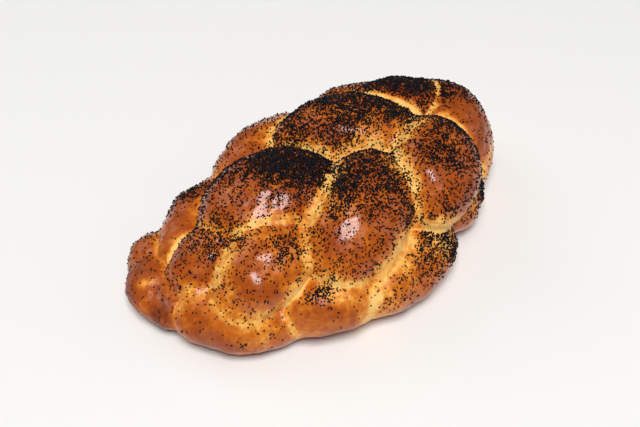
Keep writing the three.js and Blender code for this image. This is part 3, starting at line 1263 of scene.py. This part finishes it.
@dataclass
class PoppySeeds:
    """Poppy seeds as small joined beans, strewn by the lobes' own shares and by the drifts.

    half_sizes are a bean's half axes in millimetres, and bend how far it curves. wind points
    where the seeds came from: a lobe's lee side holds lee_share of its seeds, and the side that
    faces the wind wind_gain more. clearing is how strongly bare dough keeps seeds off.
    """

    skin: Skin
    pale: Array
    half_sizes: Corner = (0.71, 0.63, 0.54)
    bend: float = 0.25
    unbent: float = 0.4
    ring_level: float = 0.5
    cell: float = 1.0
    seed: int = 41
    corners: int = 5
    kind_shares: tuple[float, ...] = (0.3, 0.25, 0.25, 0.2)
    sizes: Span = (0.8, 1.15)
    tilt: float = 0.22
    rise: float = 0.35
    wind: Corner = (0.50, 0.59, 0.63)
    windward: Span = (0.3, 0.9)
    lee_share: float = 0.55
    wind_gain: float = 0.85
    wander: Ripple = Ripple(22, 31, 4)
    drift_fade: Span = (0.2, 1.5)
    clumps: Ripple = Ripple(8, 33, 0.4)
    clusters: Ripple = Ripple(4, 35, 0.2)
    upward: Span = (-0.15, 0.35)
    clearing: float = 1.25

    def density(self) -> Array:
        """Seeds on a square centimetre at each point of the skin.

        A lobe's own share grows on the side that faces the wind, the drifts are added as soft
        ovals, and bare dough and the underside get few.

        Returns:
            Seeds on a square centimetre.
        """
        skin = self.skin
        facing = smooth_step(skin.normals @ np.array(self.wind), *self.windward)
        base = skin.blended(lambda lobe: lobe.seeds)
        total = base * (self.lee_share + self.wind_gain * facing)
        wander = self.wander.at(skin.points)
        for drift in DRIFTS:
            oval = drift.oval(skin.points, wander)
            total = total + drift.seeds * (1 - smooth_step(oval, *self.drift_fade))
        clump = np.exp(self.clumps.at(skin.points) + self.clusters.at(skin.points))
        upper = smooth_step(skin.normals[..., 2], *self.upward)
        return total * clump * upper * (1 - np.clip(self.clearing * self.pale * skin.clean, 0, 1))

    def places(self) -> tuple[Array, Array]:
        """Draws places over the skin's cells by their area and density, one to a small cube.

        A cube's second seed lies on the first, and any further ones are left out.

        Returns:
            The seeds' places and their normals.
        """
        rng = np.random.default_rng(self.seed)
        points, normals, density = self.skin.points, self.skin.normals, self.density()
        corners, turned = self.cell_corners(points), self.cell_corners(normals)
        across, against = corners[3] - corners[0], corners[2] - corners[1]
        area = np.linalg.norm(np.cross(across, against), axis=-1) / 2
        counts = rng.poisson(density[:-1] * area / SQUARE_CENTIMETRE)
        rows, columns = np.nonzero(counts)
        times = counts[rows, columns]
        rows, columns = np.repeat(rows, times), np.repeat(columns, times)
        u, v = rng.random(len(rows))[:, None], rng.random(len(rows))[:, None]
        shares = [(1 - u) * (1 - v), u * (1 - v), (1 - u) * v, u * v]
        place = sum(s * c[rows, columns] for s, c in zip(shares, corners))
        normal = sum(s * n[rows, columns] for s, n in zip(shares, turned))
        normal /= np.linalg.norm(normal, axis=1, keepdims=True)
        cube = np.floor(place / self.cell).astype(int)
        _, first = np.unique(cube, axis=0, return_index=True)
        extra = np.setdiff1d(np.arange(len(place)), first)
        _, again = np.unique(cube[extra], axis=0, return_index=True)
        stacked = extra[again]
        chosen = np.concatenate([first, stacked])
        lift = np.concatenate([np.zeros(len(first)), np.full(len(stacked), self.half_sizes[2])])
        return place[chosen] + normal[chosen] * lift[:, None], normal[chosen]

    @staticmethod
    def cell_corners(values: Array) -> list[Array]:
        """What lies at the four corners of each cell between two rings and two spokes."""
        beside = np.roll(values, -1, 1)
        return [values[:-1], beside[:-1], values[1:], beside[1:]]

    def bean(self) -> tuple[Array, Array]:
        """One seed: two rings of corners between two poles, bent aside by the square of x.

        Returns:
            The corners and the triangles.
        """
        angle = 2 * np.pi * np.arange(self.corners) / self.corners
        rings = []
        for level in (-self.ring_level, self.ring_level):
            girth = math.sqrt(1 - level * level)
            rings.append(np.stack([girth * np.cos(angle), girth * np.sin(angle),
                                   np.full(self.corners, level)], -1))
        points = np.concatenate([[[0, 0, -1]], *rings, [[0, 0, 1]]])
        points[:, 1] += self.bend * (points[:, 0] ** 2 - self.unbent)
        low = np.arange(self.corners) + 1
        high = low + self.corners
        low_next, high_next = np.roll(low, -1), np.roll(high, -1)
        last = np.full(self.corners, 2 * self.corners + 1)
        faces = np.concatenate([
            np.stack([np.zeros(self.corners, int), low_next, low], -1),
            np.stack([low, low_next, high_next], -1),
            np.stack([low, high_next, high], -1),
            np.stack([high, high_next, last], -1),
        ])
        return points * np.array(self.half_sizes), faces

    def build(self) -> dict[SeedKind, bpy.types.Object]:
        """Builds one joined piece for each kind of seed.

        Returns:
            The pieces by kind.
        """
        rng = np.random.default_rng(self.seed + 1)
        place, normal = self.places()
        kind = rng.choice(len(SeedKind), len(place), p=self.kind_shares)
        pieces = {}
        for number, name in enumerate(SeedKind):
            chosen = kind == number
            pieces[name] = self.joined(name, place[chosen], normal[chosen], rng)
        return pieces

    def joined(self, kind: SeedKind, place: Array, normal: Array,
               rng: np.random.Generator) -> bpy.types.Object:
        """Joins many seeds into one mesh, each turned, tilted and sized a little differently.

        Args:
            kind: The seeds' shade.
            place: Where they lie.
            normal: The crust's normal under each.
            rng: The source of the draws.

        Returns:
            The object.
        """
        bean, faces = self.bean()
        count = len(place)
        up = normal + rng.normal(0, self.tilt, (count, 3))
        up /= np.linalg.norm(up, axis=1, keepdims=True)
        side = np.cross(up, rng.normal(size=(count, 3)))
        side /= np.linalg.norm(side, axis=1, keepdims=True)
        front = np.cross(up, side)
        size = rng.uniform(*self.sizes, (count, 1, 1))
        local = bean[None] * size
        points = (local[..., :1] * side[:, None] + local[..., 1:2] * front[:, None]
                  + local[..., 2:] * up[:, None] + place[:, None]
                  + normal[:, None] * (self.rise * self.half_sizes[2]))
        numbers = (faces[None] + (np.arange(count) * len(bean))[:, None, None]).reshape(-1, 3)
        thing = mesh_object(f"poppy_seeds_{kind.value}", points.reshape(-1, 3), numbers)
        keep_numbers(thing, "tone", np.repeat(rng.random(count), len(bean)))
        thing.data.materials.append(SEED_FINISHES[kind].material())
        return thing


@dataclass(frozen=True)
class Softbox:
    """A square area light: degrees round the loaf and above the floor, metres away, side, watts."""

    name: str
    azimuth: float
    elevation: float
    distance: float
    size: float
    power: float


@dataclass
class Studio:
    """Pale floor, soft lights and the camera at the photograph's angle."""

    aim: Corner = (-0.0096, -0.0048, 0.035)
    azimuth: float = -40
    elevation: float = 50
    distance: float = 0.741
    lens: float = 60
    sensor: float = 36
    sight: Span = (0.01, 20)
    floor_half: float = 3.0
    floor_colour: Colour = (0.84, 0.835, 0.82, 1)
    room_colour: Colour = (1.0, 0.985, 0.96, 1)
    room_light: float = 0.15
    softboxes: tuple[Softbox, ...] = (
        Softbox("overhead", -38, 69, 3.2, 1.25, 99.0),
        Softbox("side", 60, 30, 3.0, 1.6, 8.0),
        Softbox("window", -165, 38, 3.0, 1.6, 12.0),
    )

    def toward(self, azimuth: float, elevation: float) -> Vector:
        """The direction from the loaf to a place round it, with azimuth 0 at -Y and 90 at X.

        Args:
            azimuth: Degrees round the loaf.
            elevation: Degrees above the floor.

        Returns:
            A vector of length one.
        """
        turn, rise = math.radians(azimuth), math.radians(elevation)
        level = math.cos(rise)
        return Vector((math.sin(turn) * level, -math.cos(turn) * level, math.sin(rise)))

    def build(self) -> None:
        """Sets up the floor, the lights, the surroundings and the camera."""
        self.floor()
        for box in self.softboxes:
            self.hang(box)
        self.surroundings()
        self.camera()

    def floor(self) -> None:
        """Lays a plain pale floor."""
        half = self.floor_half / METRES
        corners = np.array([[-half, -half, 0], [half, -half, 0], [half, half, 0], [-half, half, 0]])
        floor = mesh_object("floor", corners, np.array([[0, 1, 2, 3]]), smooth=False)
        nodes = Nodes("pale_floor")
        sockets = {"Base Color": self.floor_colour, "Roughness": 0.7}
        floor.data.materials.append(nodes.finish(sockets))

    def hang(self, box: Softbox) -> None:
        """Hangs a softbox that faces the loaf.

        Args:
            box: The softbox.
        """
        light = bpy.data.lights.new(box.name, "AREA")
        light.shape, light.size, light.energy = "SQUARE", box.size, box.power
        lamp = bpy.data.objects.new(box.name, light)
        back = self.toward(box.azimuth, box.elevation)
        lamp.location = Vector(self.aim) + back * box.distance
        lamp.rotation_euler = back.to_track_quat("Z", "Y").to_euler()
        bpy.context.scene.collection.objects.link(lamp)

    def surroundings(self) -> None:
        """Fills the room with even, slightly warm light."""
        scene = bpy.context.scene
        scene.world = bpy.data.worlds.new("bright_room")
        scene.world.use_nodes = True
        backdrop = scene.world.node_tree.nodes["Background"]
        backdrop.inputs["Color"].default_value = self.room_colour
        backdrop.inputs["Strength"].default_value = self.room_light
        scene.view_settings.view_transform = "Standard"

    def camera(self) -> None:
        """Places the camera."""
        lens = bpy.data.cameras.new("camera")
        lens.lens, lens.sensor_width = self.lens, self.sensor
        lens.clip_start, lens.clip_end = self.sight
        camera = bpy.data.objects.new("camera", lens)
        back = self.toward(self.azimuth, self.elevation)
        camera.location = Vector(self.aim) + back * self.distance
        camera.rotation_euler = back.to_track_quat("Z", "Y").to_euler()
        bpy.context.scene.collection.objects.link(camera)
        bpy.context.scene.camera = camera


def main() -> None:
    """Builds the loaf and logs each piece's face count."""
    logging.basicConfig(level=logging.INFO, format="%(message)s")
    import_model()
    low, high = (np.array(corner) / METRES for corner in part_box("loaf"))
    Studio().build()
    low_gap = np.array([SIDE_GAP, SIDE_GAP, FLOOR_GAP])
    high_gap = np.array([SIDE_GAP, SIDE_GAP, TOP_GAP])
    crust = Crust(Dough(*(high - low)), low + low_gap, high - high_gap)
    shell, skin = crust.build()
    seeds = PoppySeeds(skin, crust.pale(skin)).build()
    for thing in (shell, *seeds.values()):
        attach(thing, "root")
        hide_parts("loaf")
        LOG.info("%s: %d faces", thing.name, len(thing.data.polygons))


if __name__ == "__main__":
    main()
